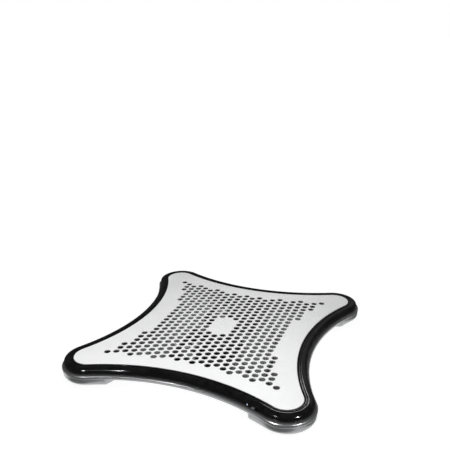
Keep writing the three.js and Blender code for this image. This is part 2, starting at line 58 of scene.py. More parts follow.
def makeActive(piece):
    deselectAll()
    piece.select_set(True)
    bpy.context.view_layer.objects.active = piece


def editAll(piece):
    makeActive(piece)
    bpy.ops.object.mode_set(mode='EDIT')
    bpy.ops.mesh.select_all(action='SELECT')


def editSelect(piece, kind, test):
    makeActive(piece)
    bpy.ops.object.mode_set(mode='EDIT')
    bpy.ops.mesh.select_mode(type=kind)
    bpy.ops.mesh.select_all(action='DESELECT')
    mesh = bmesh.from_edit_mesh(piece.data)
    for part in {'VERT': mesh.verts, 'EDGE': mesh.edges, 'FACE': mesh.faces}[kind]:
        if test(part):
            part.select_set(True)
    mesh.select_flush_mode()
    bmesh.update_edit_mesh(piece.data)


def finishEdit():
    bpy.ops.object.mode_set(mode='OBJECT')


def named(name):
    piece = bpy.context.object
    piece.name = name
    piece.data.name = name
    return piece


def tidyMesh(piece):
    editAll(piece)
    bpy.ops.mesh.remove_doubles(threshold=flatReach)
    bpy.ops.mesh.normals_make_consistent(inside=False)
    finishEdit()


def joinPieces(pieces, name):
    deselectAll()
    for piece in pieces:
        piece.select_set(True)
    bpy.context.view_layer.objects.active = pieces[0]
    if len(pieces) > 1:
        bpy.ops.object.join()
    return named(name)


def copiesAt(piece, places, name):
    copies = []
    for place in places:
        copy = piece.copy()
        copy.data = piece.data.copy()
        copy.data.transform(place)
        bpy.context.scene.collection.objects.link(copy)
        copies.append(copy)
    bpy.data.objects.remove(piece)
    return joinPieces(copies, name)


def carve(piece, cutter, operation='DIFFERENCE', solver='MANIFOLD'):
    makeActive(piece)
    modifier = piece.modifiers.new("carve", 'BOOLEAN')
    modifier.operation = operation
    modifier.solver = solver
    modifier.object = cutter
    bpy.ops.object.modifier_apply(modifier=modifier.name)
    bpy.data.objects.remove(cutter)
    return piece


def softenEdges(piece, width, segments=2, angle=35):
    makeActive(piece)
    modifier = piece.modifiers.new("soften", 'BEVEL')
    modifier.width = width * mm
    modifier.segments = segments
    modifier.limit_method = 'ANGLE'
    modifier.angle_limit = math.radians(angle)
    bpy.ops.object.modifier_apply(modifier=modifier.name)
    return piece


def smooth(piece, angle=32):
    makeActive(piece)
    bpy.ops.object.shade_smooth_by_angle(angle=math.radians(angle))
    return piece


def block(x0, x1, y0, y1, z0, z1, name="block"):
    deselectAll()
    middle = ((x0 + x1) / 2 * mm, (y0 + y1) / 2 * mm, (z0 + z1) / 2 * mm)
    bpy.ops.mesh.primitive_cube_add(size=1, location=middle)
    piece = named(name)
    piece.scale = ((x1 - x0) * mm, (y1 - y0) * mm, (z1 - z0) * mm)
    bpy.ops.object.transform_apply(location=True, rotation=True, scale=True)
    return piece


def rod(radius, z0, z1, x=0, y=0, sides=32, name="rod"):
    deselectAll()
    bpy.ops.mesh.primitive_cylinder_add(vertices=sides, radius=radius * mm, depth=(z1 - z0) * mm,
                                        location=(x * mm, y * mm, (z0 + z1) / 2 * mm))
    piece = named(name)
    bpy.ops.object.transform_apply(location=True, rotation=True, scale=True)
    return piece


def roundLong(piece, axis, reach, segments, long=3):
    editSelect(piece, 'EDGE', lambda edge: abs(edge.verts[0].co[axis] - edge.verts[1].co[axis]) > long * mm)
    bpy.ops.mesh.bevel(offset=reach * mm, segments=segments)
    finishEdit()


def turned(section, sides=32, name="turned"):
    deselectAll()
    bpy.ops.mesh.primitive_circle_add(vertices=len(section), radius=mm)
    piece = named(name)
    for vertex, (radius, z) in zip(piece.data.vertices, section):
        vertex.co = (radius * mm, 0, z * mm)
    editAll(piece)
    bpy.ops.mesh.spin(steps=sides, angle=2 * math.pi, center=(0, 0, 0), axis=(0, 0, 1))
    finishEdit()
    tidyMesh(piece)
    return piece


# The outline: four convex corners joined by four concave sides.

outlineSizes = {"waistX": 114.6, "waistY": 107, "tipX": 121.5, "tipY": 119.7, "tipRadius": 19,
                "sideSteps": 26, "tipSteps": 30}


def sideArc(waist, along, across):
    tip = outlineSizes["tipRadius"]
    rise = waist - along
    radius = (rise ** 2 + across ** 2 - tip ** 2) / (2 * (tip - rise))
    return {"far": waist + radius, "radius": radius, "half": math.asin(across / (radius + tip))}


sideX = sideArc(outlineSizes["waistX"], outlineSizes["tipX"], outlineSizes["tipY"])
sideY = sideArc(outlineSizes["waistY"], outlineSizes["tipY"], outlineSizes["tipX"])
tips = [(sx * outlineSizes["tipX"], sy * outlineSizes["tipY"])
        for sx, sy in ((1, 1), (-1, 1), (-1, -1), (1, -1))]


def outlineArcs():
    arcs = []
    for quarter, (x, y) in enumerate(tips):
        turn = quarter * math.pi / 2
        side, after = (sideY, sideX) if quarter % 2 else (sideX, sideY)
        arcs.append((side["far"] * math.cos(turn), side["far"] * math.sin(turn),
                     -2 * side["half"], outlineSizes["sideSteps"]))
        arcs.append((x, y, math.pi / 2 + side["half"] + after["half"], outlineSizes["tipSteps"]))
    return arcs


def sweepOutline(name, section, closed=True):
    deselectAll()
    bpy.ops.mesh.primitive_circle_add(vertices=len(section), radius=mm)
    piece = named(name)
    half = sideX["half"]
    for vertex, (reach, z) in zip(piece.data.vertices, section):
        radius = sideX["radius"] - reach
        vertex.co = Vector((sideX["far"] - radius * math.cos(half), -radius * math.sin(half), z)) * mm
    if not closed:
        ends = {0, len(section) - 1}
        editSelect(piece, 'EDGE', lambda edge: {vertex.index for vertex in edge.verts} == ends)
        bpy.ops.mesh.delete(type='EDGE')
        finishEdit()
    editAll(piece)
    for x, y, angle, steps in outlineArcs():
        bpy.ops.mesh.spin(steps=steps, angle=-angle, center=(x * mm, y * mm, 0), axis=(0, 0, 1))
    finishEdit()
    editAll(piece)
    bpy.ops.mesh.remove_doubles(threshold=weldReach)
    finishEdit()
    if not closed:
        for z in (section[0][1], section[-1][1]):
            editSelect(piece, 'EDGE', lambda edge: edge.is_boundary and all(
                abs(vertex.co.z - z * mm) < flatReach for vertex in edge.verts))
            bpy.ops.mesh.edge_face_add()
            finishEdit()
    editAll(piece)
    bpy.ops.mesh.normals_make_consistent(inside=False)
    finishEdit()
    return piece


def rounding(reach, z, wide, tall, start, end, steps, squareness=2):
    points = []
    for step in range(steps + 1):
        angle = math.radians(start + (end - start) * step / steps)
        across, up = math.cos(angle), math.sin(angle)
        points.append((reach + wide * math.copysign(abs(across) ** (2 / squareness), across),
                       z + tall * math.copysign(abs(up) ** (2 / squareness), up)))
    return points


def sidePlace(side, turn, along):
    lean = math.asin(along / side["radius"])
    far = side["far"] - side["radius"] * math.cos(lean)
    return (Matrix.Rotation(turn, 4, 'Z') @ Matrix.Translation((far * mm, along * mm, 0))
            @ Matrix.Rotation(-lean, 4, 'Z'))


placeSizes = {"switchAlong": 98, "socketAlong": 70}
switchPlace = sidePlace(sideX, math.pi, placeSizes["switchAlong"])
socketPlace = sidePlace(sideY, math.pi / 2, placeSizes["socketAlong"])


# Top plate: swept with its edges broken, then punched.

plateSizes = {"bottom": 20.8, "top": 22, "holeRadius": 3.8, "holeFlare": 0.2, "holeSides": 20,
              "pitchX": 9.32, "pitchY": 9.56, "blankRadius": 18.9, "fieldX": 94.1, "fieldY": 79.35,
              "curveX": 588, "curveY": 382, "rows": 13, "columns": 14, "edgeIn": 0.3, "edgeDrop": 0.35,
              "cornerIn": 0.08, "cornerDrop": 0.12, "underBreak": 0.2, "flareDeep": 0.3, "flareMid": 0.1,
              "flareStart": 0.35, "flareEnd": 1.6, "punchPast": 0.12, "smoothAngle": 25}


def holeCentres():
    centres = []
    for row in range(-plateSizes["rows"], plateSizes["rows"] + 1):
        for column in range(-plateSizes["columns"], plateSizes["columns"] + 1):
            x = (column + (0.5 if row % 2 else 0)) * plateSizes["pitchX"]
            y = row * plateSizes["pitchY"]
            inField = (abs(x) <= plateSizes["fieldX"] + y * y / plateSizes["curveX"]
                       and abs(y) <= plateSizes["fieldY"] + x * x / plateSizes["curveY"])
            if inField and math.hypot(x, y) > plateSizes["blankRadius"]:
                centres.append((x, y))
    return centres


def makePlate():
    size = plateSizes
    low, high, edgeIn = size["bottom"], size["top"], size["edgeIn"]
    plate = sweepOutline("perforated_plate", [
        (-edgeIn, low), (0, low + size["underBreak"]), (0, high - size["edgeDrop"]),
        (-size["cornerIn"], high - size["cornerDrop"]), (-edgeIn, high)], closed=False)
    radius, flare, past = size["holeRadius"], size["holeFlare"], high + size["punchPast"]
    section = [(0.0, low - 1), (radius, low - 1), (radius, high - size["flareDeep"]),
               (radius + flare * size["flareStart"], high - size["flareMid"]),
               (radius + flare * size["flareEnd"], past), (0.0, past)]
    punch = turned(section, size["holeSides"], "punch")
    places = [Matrix.Translation((x * mm, y * mm, 0)) for x, y in holeCentres()]
    carve(plate, copiesAt(punch, places, "punches"))
    return smooth(plate, size["smoothAngle"])


plate = makePlate()
print("top plate punched", len(plate.data.polygons))


# Rim: a lip beside the plate, a fine groove, then a crowned outside.

rimSizes = {"bottom": 15, "top": 22, "reach": 11.4, "wall": 2.6, "lip": 2.5, "grooveEnd": 3.7,
            "grooveDepth": 0.75, "ledgeIn": -7, "ledgeLow": 18.6, "ledgeHigh": 20.5,
            "webRadius": 14, "bossRadius": 4.5, "bossDrop": 0.4, "screwHole": 1.7, "screwDepth": 17.5,
            "crownAt": (4.4, 17.8), "crownWide": 7, "crownTall": 4.2, "squareness": 2.5,
            "hemWide": 1, "hemTall": 0.9, "smoothAngle": 40}
# Each pair is how far out and how far down from the top.
rimEdges = {"lipStart": [(0.3, 0.6), (0.4, 0.45), (0.6, 0.4)],
            "lipEnd": [(-0.35, 0.06), (-0.1, 0.1), (0, 0.25)],
            "grooveSide": 0.05, "grooveFoot": 0.15, "grooveEnd": [(0, 0.42), (0.1, 0.2), (0.3, 0.06)]}
switchSizes = {"z": 17.1, "slotHalf": 4.8, "slotTall": 1.3, "lampAt": -11, "lampHole": 1.35,
               "slotRounding": 0.5}


def rimSection():
    size, edges = rimSizes, rimEdges
    low, high, lip, groove = size["bottom"], size["top"], size["lip"], size["grooveEnd"]
    inside, valley = size["reach"] - size["wall"], high - size["grooveDepth"]
    start = edges["lipStart"]
    section = [(start[0][0], size["ledgeHigh"])] + [(out, high - down) for out, down in start]
    section += [(lip + out, high - down) for out, down in edges["lipEnd"]]
    section += [(lip + edges["grooveSide"], valley), (groove - edges["grooveFoot"], valley)]
    section += [(groove + out, high - down) for out, down in edges["grooveEnd"]]
    section += rounding(*size["crownAt"], size["crownWide"], size["crownTall"], 90, 0, 16,
                        size["squareness"])
    section += rounding(size["reach"] - size["hemWide"], low + size["hemTall"],
                        size["hemWide"], size["hemTall"], 0, -90, 4)
    return section + [(inside, low), (inside, size["ledgeLow"]), (size["ledgeIn"], size["ledgeLow"]),
                      (size["ledgeIn"], size["ledgeHigh"])]


def cornerRods(radius, z0, z1, name, sides=32):
    return joinPieces([rod(radius, z0, z1, x, y, sides) for x, y in tips], name)


def makeRim():
    size = rimSizes
    low, inside = size["bottom"], size["reach"] - size["wall"]
    rim = sweepOutline("rim_moulding", rimSection())
    webs = cornerRods(size["webRadius"], size["ledgeLow"] + 0.01, size["ledgeHigh"] - 0.01, "webs", 48)
    bosses = cornerRods(size["bossRadius"], low, size["ledgeHigh"] - size["bossDrop"], "bosses")
    holes = cornerRods(size["screwHole"], low - 1, size["screwDepth"], "holes", 24)
    carve(rim, webs, 'UNION')
    carve(rim, bosses, 'UNION')
    carve(rim, holes)
    z, half, tall = switchSizes["z"], switchSizes["slotHalf"], switchSizes["slotTall"]
    slot = block(inside - 2, size["reach"] + 2, -half, half, z - tall, z + tall, "slot")
    roundLong(slot, 0, switchSizes["slotRounding"], 3)
    slot.data.transform(switchPlace)
    lamp = rod(switchSizes["lampHole"], -1, 3, 0, 0, 24, "lampHole")
    spot = Matrix.Translation(((size["reach"] - 1) * mm, switchSizes["lampAt"] * mm, z * mm))
    lamp.data.transform(switchPlace @ spot @ Matrix.Rotation(math.pi / 2, 4, 'Y'))
    carve(rim, slot)
    carve(rim, lamp)
    return smooth(rim, size["smoothAngle"])


rim = makeRim()
print("rim swept", len(rim.data.polygons))


# Tray: a shallow dish, a foot under each corner with a seat cut beneath for its pad, and a grille under
# each fan.

shellSizes = {"floorLow": 8, "floorHigh": 9.8, "top": 14.7, "reach": 14.27, "wall": 2.2,
              "flangeIn": 9, "flangeLow": 12.5, "flatTo": 6, "skirtWide": 4, "skirtTall": 3.2,
              "shoulderWide": 3.1, "shoulderTall": 2.3, "fillet": 0.8, "smoothAngle": 35,
              "podReach": 13.9, "podRadius": 40, "podBottom": 1, "podHem": 4.4, "podInto": 0.3,
              "seatTop": 2.6, "seatIn": 5.2, "seatHem": 0.01,
              "screwSeat": [(0, 7), (3.2, 7), (3.2, 8), (1.8, 9.5), (1.8, 11), (0, 11)],
              "socketMouth": (5, 18, -4.15, 4.15, 10.9, 16), "mouthRounding": 0.5}
blockSizes = {"inner": -8, "hemShare": 1.2, "sides": 96}
fanSizes = {"offset": 52.6, "half": 35, "duct": 32.5, "hub": 14, "holeAt": 30.75, "bottom": 10.1,
            "top": 20.1}
grilleSizes = {"inner": 17, "outer": 32, "ring": 1.6, "spoke": 2.4, "low": 6, "high": 12, "sides": 72,
               "turns": (30, 90, 150), "rounding": 0.7, "roundingAngle": 50}


def tipBlocks(name, reach, radius, low, high, hem):
    inner, tall = blockSizes["inner"], hem * blockSizes["hemShare"]
    section = [(inner, low)] + rounding(reach - hem, low + tall, hem, tall, -90, 0, 8)
    section += [(reach, high), (inner, high)]
    blocks = sweepOutline(name, section, closed=False)
    rods = []
    for x, y in tips:
        disc = rod(radius, low - 0.02, high + 1, x, y, blockSizes["sides"])
        editSelect(disc, 'EDGE', lambda edge: all(vertex.co.z < low * mm for vertex in edge.verts))
        bpy.ops.mesh.bevel(offset=hem * mm, segments=4)
        finishEdit()
        rods.append(disc)
    return carve(blocks, joinPieces(rods, "rods"), 'INTERSECT')


def makeGrilleCut(x):
    size = grilleSizes
    low, high, sides = size["low"], size["high"], size["sides"]
    middle, halfRing = (size["inner"] + size["outer"]) / 2, size["ring"] / 2
    rings = []
    for outer, inner in ((size["outer"], middle + halfRing), (middle - halfRing, size["inner"])):
        ring = rod(outer, low, high, x, 0, sides, "ring")
        rings.append(carve(ring, rod(inner, low - 1, high + 1, x, 0, sides)))
    cut = joinPieces(rings, "grilleCut")
    half = size["spoke"] / 2
    for turn in size["turns"]:
        bar = block(-size["outer"] - 2, size["outer"] + 2, -half, half, low - 1, high + 1)
        bar.data.transform(Matrix.Translation((x * mm, 0, 0)) @ Matrix.Rotation(math.radians(turn), 4, 'Z'))
        carve(cut, bar)
    return softenEdges(cut, size["rounding"], 2, size["roundingAngle"])


def shellSection():
    size = shellSizes
    low, high, wall = size["floorLow"], size["floorHigh"], size["reach"] - size["wall"]
    section = [(0, low), (size["flatTo"], low)]
    section += rounding(size["reach"] - size["skirtWide"], low + size["skirtTall"],
                        size["skirtWide"], size["skirtTall"], -90, 0, 8)
    section += rounding(size["reach"] - size["shoulderWide"], size["top"] - size["shoulderTall"],
                        size["shoulderWide"], size["shoulderTall"], 0, 90, 8)
    return section + [(size["flangeIn"], size["top"]), (size["flangeIn"], size["flangeLow"]),
                      (wall, size["flangeLow"]), (wall, high + size["fillet"]),
                      (wall - size["fillet"], high), (0, high)]


def makeShell():
    size = shellSizes
    shell = sweepOutline("tray_moulding", shellSection(), closed=False)
    pods = tipBlocks("pods", size["podReach"], size["podRadius"], size["podBottom"],
                     size["floorHigh"] - size["podInto"], size["podHem"])
    carve(shell, pods, 'UNION')
    seats = tipBlocks("seats", size["podReach"] - size["seatIn"], size["podRadius"] - size["seatIn"],
                      size["podBottom"] - 1, size["seatTop"], size["seatHem"])
    carve(shell, seats)
    for side in (-1, 1):
        carve(shell, makeGrilleCut(side * fanSizes["offset"]))
    seat = turned(size["screwSeat"], 28, "seat")
    places = [Matrix.Translation((x * mm, y * mm, 0)) for x, y in fanScrewSpots()]
    carve(shell, copiesAt(seat, places, "seats"))
    mouth = block(*size["socketMouth"], "mouth")
    roundLong(mouth, 0, size["mouthRounding"], 3)
    mouth.data.transform(socketPlace)
    carve(shell, mouth)
    return smooth(shell, size["smoothAngle"])


def fanScrewSpots():
    at, offset = fanSizes["holeAt"], fanSizes["offset"]
    return [(side * offset + sx * at, sy * at) for side in (-1, 1) for sx in (-1, 1) for sy in (-1, 1)]


shell = makeShell()
print("tray swept", len(shell.data.polygons))


# Rubber pads, seated under the feet.

padSizes = {"reach": 8.6, "radius": 34.5, "top": 2.3, "hem": 0.5, "grooves": 8, "groovePitch": 4,
            "grooveWide": 1.2, "grooveDeep": 0.35, "grooveHalf": 14, "smoothAngle": 35}


def makeFootPads():
    size = padSizes
    pads = tipBlocks("foot_pads", size["reach"], size["radius"], 0, size["top"], size["hem"])
    grooves = []
    for x, y in tips:
        for step in range(-size["grooves"] // 2, size["grooves"] // 2):
            long, wide = size["grooveHalf"], size["grooveWide"] / 2
            bar = block(-long, long, -wide, wide, -1, size["grooveDeep"])
            turn = Matrix.Rotation(math.atan2(y, x) + math.pi / 2, 4, 'Z')
            along = Matrix.Translation((0, (step + 0.5) * size["groovePitch"] * mm, 0))
            bar.data.transform(Matrix.Translation((x * mm, y * mm, 0)) @ turn @ along)
            grooves.append(bar)
    carve(pads, joinPieces(grooves, "grooves"))
    editAll(pads)
    bpy.ops.mesh.separate(type='LOOSE')
    finishEdit()
    made = {}
    for piece in bpy.context.selected_objects:
        spot = sum((vertex.co for vertex in piece.data.vertices), Vector()) / len(piece.data.vertices)
        corner = ("back_" if spot.y > 0 else "front_") + ("right" if spot.x > 0 else "left")
        piece.name = piece.data.name = "rubber_foot_" + corner
        made[corner] = piece
    for piece in made.values():
        smooth(piece, size["smoothAngle"])
    return made


footPads = makeFootPads()
print("foot pads", sorted(footPads))


# Switch thumb and lamp, both placed along the left side.

thumbSizes = {"from": -4.5, "to": -1.5, "tip": 12.7, "low": 16.1, "high": 18.1, "stemStart": 7.5,
              "footStart": 5, "footEnd": 8.2, "footPast": 1, "ribs": (-3.75, -3, -2.25), "ribHalf": 0.17,
              "ribDeep": 0.35, "edge": 0.12}
lampSizes = {"section": [(0, 4.5), (1.1, 4.5), (1.1, 10.5), (1.02, 10.85), (0.8, 11.15), (0.45, 11.34),
                         (0, 11.4)],
             "sides": 28, "legs": (4.9, 6.1, -11.5, -10.5), "legTop": 16.5, "smoothAngle": 50}


def makeThumb():
    size = thumbSizes
    near, far, low, high = size["from"], size["to"], size["low"], size["high"]
    stem = block(size["stemStart"], size["tip"], near, far, low, high)
    foot = block(size["footStart"], size["footEnd"], near - size["footPast"], far + size["footPast"],
                 low, high)
    thumb = carve(foot, stem, 'UNION')
    half, depth = size["ribHalf"], size["ribDeep"]
    ribs = [block(size["tip"] - depth, size["tip"] + 1, y - half, y + half, low - 1, high + 1)
            for y in size["ribs"]]
    carve(thumb, joinPieces(ribs, "ribs"))
    softenEdges(thumb, size["edge"], 2)
    thumb.data.transform(switchPlace)
    return smooth(thumb)


def makeLamp():
    size = lampSizes
    bulb = turned(size["section"], size["sides"], "bulb")
    spot = Matrix.Translation((0, switchSizes["lampAt"] * mm, switchSizes["z"] * mm))
    bulb.data.transform(spot @ Matrix.Rotation(math.pi / 2, 4, 'Y'))
    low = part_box("status_lamp")[0].z / mm
    carve(bulb, block(*size["legs"], low, size["legTop"]), 'UNION')
    bulb.data.transform(switchPlace)
    return smooth(bulb, size["smoothAngle"])


thumb = makeThumb()
thumb.name = thumb.data.name = "switch_thumb"
lamp = makeLamp()
lamp.name = lamp.data.name = "lamp_lens"
print("switch thumb and lamp")


# Metal shell of the power socket.

socketSizes = {"back": 4.7, "front": 13.7, "half": 3.85, "low": 11.2, "high": 14.6, "wall": 0.4,
               "outerRounding": 0.8, "innerRounding": 0.5, "edge": 0.08, "windowFrom": 8, "windowTo": 9.6,
               "windowHalf": 0.8, "windowLow": 14, "windowHigh": 16, "windows": (-1.8, 1.8)}


def makeSocket():
    size = socketSizes
    bodies = []
    for inset, extra, radius in ((0, 0, size["outerRounding"]), (size["wall"], 1, size["innerRounding"])):
        body = block(size["back"] - extra, size["front"] + extra, inset - size["half"],
                     size["half"] - inset, size["low"] + inset, size["high"] - inset)
        roundLong(body, 0, radius, 4)
        bodies.append(body)
    body = carve(bodies[0], bodies[1])
    half = size["windowHalf"]
    windows = [block(size["windowFrom"], size["windowTo"], y - half, y + half, size["windowLow"],
                     size["windowHigh"]) for y in size["windows"]]
    carve(body, joinPieces(windows, "windows"))
    softenEdges(body, size["edge"], 2, 50)
    body.data.transform(socketPlace)
    return smooth(body)


socket = makeSocket()
socket.name = socket.data.name = "socket_shell"


# Screws that hold the fans, with a cross in each head.

screwSizes = {"head": 2.9, "shank": 1.5, "low": 8, "seat": 9.5, "end": 16.1, "slot": 0.34,
              "slotShare": 0.56, "headEdge": [(0.35, 0), (0.1, 0.06), (0, 0.22)], "slotDeep": 1,
              "thread": 0.28, "pitch": 0.6, "tipShare": 0.6, "sides": 28, "turn": 0.7}


def makeFanScrews():
    size = screwSizes
    head, shank, low, slot = size["head"], size["shank"], size["low"], size["slot"]
    section = [(0, low)] + [(head - inward, low + up) for inward, up in size["headEdge"]]
    section.append((shank, size["seat"]))
    z = size["seat"] + size["pitch"] / 2
    while z < size["end"] - 1:
        section += [(shank, z), (shank - size["thread"], z + size["pitch"] / 2)]
        z += size["pitch"]
    section += [(shank * size["tipShare"], size["end"] - 0.1), (0, size["end"])]
    screw = turned(section, size["sides"], "screw")
    reach = head * size["slotShare"]
    across = block(-reach, reach, -slot, slot, low - 1, low + size["slotDeep"])
    along = block(-slot, slot, -reach, reach, low - 1, low + size["slotDeep"] + 0.001)
    carve(screw, carve(across, along, 'UNION'))
    made = []
    for spot, (x, y) in enumerate(fanScrewSpots()):
        copy = screw.copy()
        copy.data = screw.data.copy()
        turn = Matrix.Rotation(spot * size["turn"], 4, 'Z')
        copy.data.transform(Matrix.Translation((x * mm, y * mm, 0)) @ turn)
        bpy.context.scene.collection.objects.link(copy)
        copy.name = copy.data.name = "grille_screw_%s_%d" % ("left" if x < 0 else "right", spot % 4 + 1)
        made.append(smooth(copy))
    bpy.data.objects.remove(screw)
    return made


fanScrews = makeFanScrews()
print("socket and screws")


# Fans: a housing, and a cup with curved blades.

bladeSizes = {"count": 9, "root": 13.2, "tip": 31.5, "span": 9, "low": 13.9, "high": 19.2, "belly": 17.6,
              "thick": 0.8, "tipGap": 0.4, "columns": 8, "rows": 10, "narrowing": 0.1, "rootShare": 0.82,
              "tipShare": 0.18}
frameSizes = {"corner": 4, "edge": 0.3, "flareOut": 0.9, "flareTall": 1.4, "screwHole": 1.8, "hubTall": 1.5,
              "struts": 4, "strutHalf": 1.5, "tube": 4.1, "tubeTop": 7.3, "bore": 3.1, "leadHalf": 1.1,
              "leadTop": 4.3, "ductSides": 96, "strutInto": 0.8, "strutLow": 0.01, "strutHigh": 1.49,
              "tubeLow": 0.5, "boreTop": 9, "leadIn": 2, "smoothAngle": 30}
cupSizes = {"low": 3.2, "high": 9.2, "wall": 1.2, "rounding": 1, "dishOut": 5.2, "dishIn": 5,
            "dishDrop": 0.2, "boss": 1.07, "bossDrop": 0.4, "sides": 72, "smoothAngle": 30}


def makeFanFrame():
    size, shape = fanSizes, frameSizes
    half, low, high, duct, hubRadius = size["half"], size["bottom"], size["top"], size["duct"], size["hub"]
    hubTop, flared = low + shape["hubTall"], duct + shape["flareOut"]
    body = block(-half, half, -half, half, low, high, "fan_housing")
    roundLong(body, 2, shape["corner"], 8)
    softenEdges(body, shape["edge"], 2, 60)
    carve(body, turned([(0, low - 1), (flared, low - 1), (flared, low), (duct, low + shape["flareTall"]),
                        (duct, high - shape["flareTall"]), (flared, high), (flared, high + 1),
                        (0, high + 1)], shape["ductSides"], "duct"))
    spots = [(sx * size["holeAt"], sy * size["holeAt"]) for sx in (-1, 1) for sy in (-1, 1)]
    carve(body, joinPieces([rod(shape["screwHole"], low - 1, high + 1, x, y, 24) for x, y in spots],
                           "holes"))
    hub = rod(hubRadius, low, hubTop, 0, 0, 64, "hub")
    wide = shape["strutHalf"]
    for turn in range(shape["struts"]):
        strut = block(hubRadius - 1, duct + shape["strutInto"], -wide, wide, low + shape["strutLow"],
                      low + shape["strutHigh"])
        strut.data.transform(Matrix.Rotation(turn * 2 * math.pi / shape["struts"], 4, 'Z'))
        carve(hub, strut, 'UNION')
    carve(hub, rod(shape["tube"], low + shape["tubeLow"], low + shape["tubeTop"], 0, 0, 40), 'UNION')
    carve(hub, rod(shape["bore"], hubTop, low + shape["boreTop"], 0, 0, 40))
    carve(body, hub, 'UNION')
    wide = shape["leadHalf"]
    carve(body, block(-wide, wide, -half - 1, shape["leadIn"] - duct, hubTop, low + shape["leadTop"]))
    return smooth(body, shape["smoothAngle"])


def makeBlade():
    size = bladeSizes
    deselectAll()
    bpy.ops.mesh.primitive_grid_add(x_subdivisions=size["columns"], y_subdivisions=size["rows"], size=mm)
    blade = named("blade")
    for vertex in blade.data.vertices:
        out, around = vertex.co.x / mm + 0.5, vertex.co.y / mm + 0.5
        flat = 0.5 + (around - 0.5) * (1 - size["narrowing"] * out)
        radius = size["root"] + out * (size["tip"] - size["root"] - size["tipGap"])
        rise = ((1 - flat) ** 2 * size["low"] + 2 * flat * (1 - flat) * size["belly"]
                + flat ** 2 * size["high"])
        sweep = size["span"] * (around - 0.5) * (size["rootShare"] + size["tipShare"] * out)
        vertex.co = Vector((math.sqrt(max(radius ** 2 - sweep ** 2, 1)), sweep, rise - size["thick"])) * mm
    makeActive(blade)
    wall = blade.modifiers.new("wall", 'SOLIDIFY')
    wall.thickness = size["thick"] * mm
    wall.offset = 1
    bpy.ops.object.modifier_apply(modifier=wall.name)
    return blade


def makeRotor():
    size, hub, curve = cupSizes, fanSizes["hub"], cupSizes["rounding"]
    low, high = fanSizes["bottom"] + size["low"], fanSizes["bottom"] + size["high"]
    inner, ceiling, dish = hub - size["wall"], high - size["wall"], high - size["dishDrop"]
    section = [(0, high - size["bossDrop"]), (size["boss"], high - size["bossDrop"]),
               (size["boss"], ceiling), (inner, ceiling), (inner, low), (hub, low), (hub, ceiling)]
    section += rounding(hub - curve, high - curve, curve, curve, 15, 90, 4)
    section += [(size["dishOut"], high), (size["dishIn"], dish), (0, dish)]
    cup = turned(section, size["sides"], "rotor")
    count = bladeSizes["count"]
    turns = [Matrix.Rotation(2 * math.pi * step / count, 4, 'Z') for step in range(count)]
    carve(cup, copiesAt(makeBlade(), turns, "blades"), 'UNION', 'EXACT')
    return smooth(cup, size["smoothAngle"])


def placeTwins(piece, name):
    twins = []
    for side, sign in (("left", -1), ("right", 1)):
        twin = piece.copy()
        twin.data = piece.data.copy()
        twin.data.transform(Matrix.Translation((sign * fanSizes["offset"] * mm, 0, 0)))
        bpy.context.scene.collection.objects.link(twin)
        twin.name = twin.data.name = name + "_" + side
        twins.append(twin)
    bpy.data.objects.remove(piece)
    return twins


fanFrames = placeTwins(makeFanFrame(), "fan_housing")
rotors = placeTwins(makeRotor(), "fan_wheel")
print("fans", [len(piece.data.polygons) for piece in fanFrames + rotors])


# Masks that the finishes share.

maskSizes = {"scratchWays": ((0.4, 1.0), (-0.9, 0.83), (1.7, 1.21)), "scratchFrom": 0.7, "scratchTo": 0.76,
             "dustSlope": 0.2, "dustDetail": 6, "dustFrom": 0.4, "dustTo": 0.7, "paintedLightDepth": 0.0115,
             "paintedLightSlopeFrom": 0.5, "paintedLightSlopeTo": 0.9}


def newGroup(name, inputs, outputs):
    group = bpy.data.node_groups.new(name, 'ShaderNodeTree')
    for title, kind, value in inputs:
        made = group.interface.new_socket(title, in_out='INPUT', socket_type=kind)
        made.default_value = value
    for title, kind in outputs:
        group.interface.new_socket(title, in_out='OUTPUT', socket_type=kind)
    return group, group.nodes.new('NodeGroupInput'), group.nodes.new('NodeGroupOutput')


def stretchedPlace(group, way):
    place = group.nodes.new('ShaderNodeTexCoord')
    mapping = group.nodes.new('ShaderNodeMapping')
    group.links.new(place.outputs['Object'], mapping.inputs['Vector'])
    group.links.new(way, mapping.inputs['Scale'])
    return mapping


def spread(group, value, low, high):
    node = group.nodes.new('ShaderNodeMapRange')
    group.links.new(value, node.inputs['Value'])
    for title, edge in (('From Min', low), ('From Max', high)):
        if hasattr(edge, 'default_value'):
            group.links.new(edge, node.inputs[title])
        else:
            node.inputs[title].default_value = edge
    return node.outputs['Result']


def mathNode(tree, operation, *values):
    node = tree.nodes.new('ShaderNodeMath')
    node.operation = operation
    for entry, value in zip(node.inputs, values):
        if hasattr(value, 'default_value'):
            tree.links.new(value, entry)
        else:
            entry.default_value = value
    return node.outputs[0]


def makeGrainGroup():
    group, given, result = newGroup("surfaceGrain", [
        ("Stretch", 'NodeSocketVector', (1, 1, 1)), ("Scale", 'NodeSocketFloat', 1000),
        ("Detail", 'NodeSocketFloat', 3), ("Low", 'NodeSocketFloat', 0.35),
        ("High", 'NodeSocketFloat', 0.65)], [("Mask", 'NodeSocketFloat')])
    mapping = stretchedPlace(group, given.outputs['Stretch'])
    noise = group.nodes.new('ShaderNodeTexNoise')
    group.links.new(mapping.outputs['Vector'], noise.inputs['Vector'])
    group.links.new(given.outputs['Scale'], noise.inputs['Scale'])
    group.links.new(given.outputs['Detail'], noise.inputs['Detail'])
    mask = spread(group, noise.outputs['Fac'], given.outputs['Low'], given.outputs['High'])
    group.links.new(mask, result.inputs['Mask'])
    return group


